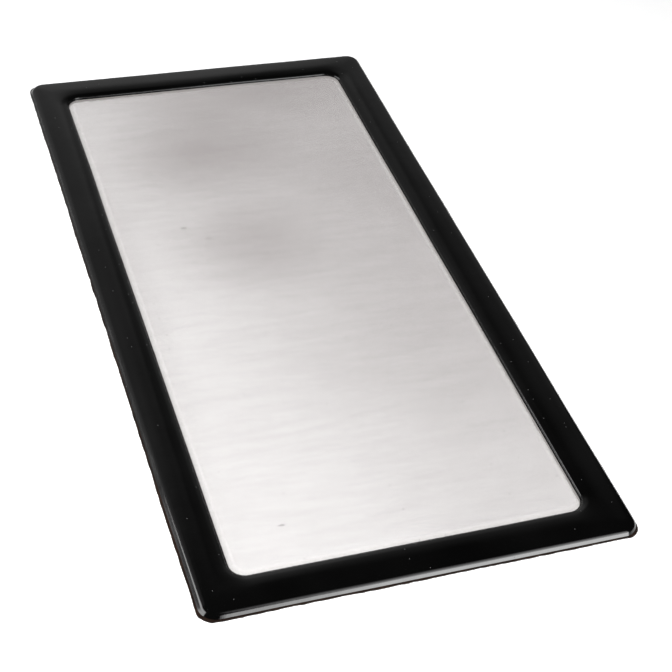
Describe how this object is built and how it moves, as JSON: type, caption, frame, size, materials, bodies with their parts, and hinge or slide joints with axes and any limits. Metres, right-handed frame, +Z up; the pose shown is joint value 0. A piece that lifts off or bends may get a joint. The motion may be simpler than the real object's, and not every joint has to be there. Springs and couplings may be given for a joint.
{
  "type": "sheet magnifier",
  "caption": "Flat rectangular page magnifier: a clear grooved lens sheet sealed in a padded, glossy black soft border.",
  "frame": {"origin": "middle of the base, on the plane that the magnifier lies on", "axes": "+X across the width, +Y along the length, +Z up through the upper cover"},
  "size_m": [0.131, 0.257, 0.0024],
  "materials": {
    "cover_gloss": "soft black vinyl, glossy, formed over a core",
    "cover_back": "black vinyl sheet, fine matt grain, brown-black where it is trimmed",
    "lens": "clear flexible plastic with fine moulded rings, softly hazy, lightly scuffed",
    "core": "firm closed-cell foam board",
    "tape": "thin double-sided adhesive tape"
  },
  "bodies": {
    "root": {"upper_cover": "cover_gloss", "lower_cover": "cover_back", "lens_sheet": "lens", "core_near": "core", "core_far": "core", "core_left": "core", "core_right": "core", "lens_tape_near": "tape", "lens_tape_far": "tape", "lens_tape_left": "tape", "lens_tape_right": "tape"}
  },
  "joints": []
}
